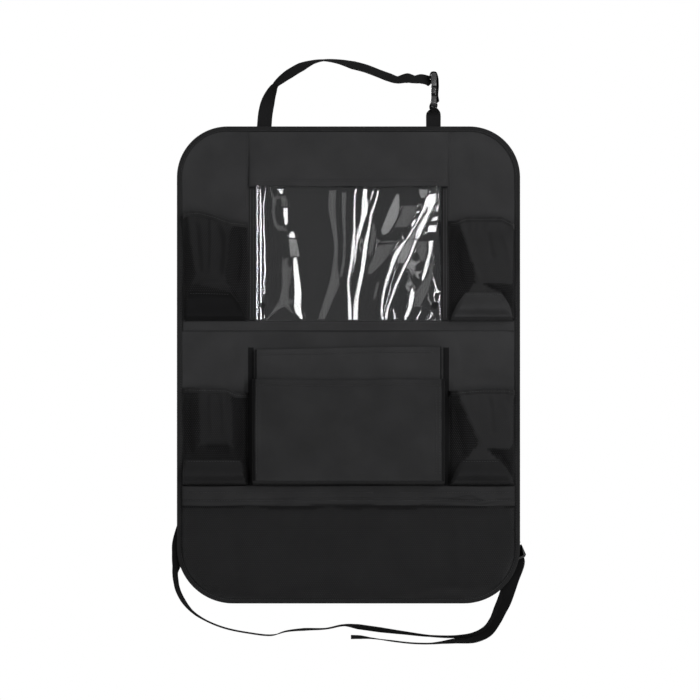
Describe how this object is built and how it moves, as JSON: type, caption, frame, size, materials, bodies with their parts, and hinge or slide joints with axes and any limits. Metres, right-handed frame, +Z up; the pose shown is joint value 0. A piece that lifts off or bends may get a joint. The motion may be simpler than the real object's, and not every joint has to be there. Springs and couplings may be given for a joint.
{
  "type": "car seat back organizer",
  "caption": "Black cloth organizer that hangs on a car seat's back, with a clear tablet window, net and cloth pockets, and webbing straps with side-release buckles.",
  "frame": {"origin": "where the headrest strap hangs: on the panel's centre line, at the top of the strap's loop and in the plane of the panel's back", "axes": "+Z up, +Y out of the panel's back towards the seat, pockets towards -Y, +X to the right seen from the pockets' side"},
  "size_m": [0.4611, 0.0535, 0.7649],
  "materials": {
    "black_cloth": "coated polyester Oxford weave, dull with a faint sheen",
    "black_net": "knitted polyester net over dark cloth",
    "binding_tape": "ribbed polyester tape",
    "webbing": "ribbed polypropylene webbing",
    "buckle_plastic": "moulded acetal, satin to glossy",
    "border_vinyl": "soft vinyl strip with stitching",
    "clear_film": "clear soft PVC film, glossy and rippled"
  },
  "bodies": {
    "root": {"back_panel": "black_cloth", "edge_binding": "binding_tape", "top_flap": "black_cloth", "tablet_film": "clear_film", "window_border_left": "border_vinyl", "window_border_right": "border_vinyl", "seam_tape": "binding_tape", "upper_left_base": "black_cloth", "upper_left_net": "black_net", "upper_left_elastic": "binding_tape", "upper_right_base": "black_cloth", "upper_right_net": "black_net", "upper_right_elastic": "binding_tape", "lower_left_base": "black_cloth", "lower_left_net": "black_net", "lower_left_elastic": "binding_tape", "lower_right_base": "black_cloth", "lower_right_net": "black_net", "lower_right_elastic": "binding_tape", "centre_pocket_rear": "black_cloth", "centre_pocket_front": "black_cloth", "bottom_pocket_band": "black_cloth", "bottom_pocket_net": "black_net", "top_strap": "webbing", "top_buckle_male": "buckle_plastic", "top_buckle_female": "buckle_plastic", "top_tab": "webbing", "bottom_strap": "webbing", "bottom_buckle_male": "buckle_plastic", "bottom_buckle_female": "buckle_plastic", "bottom_tab": "webbing"}
  },
  "joints": []
}
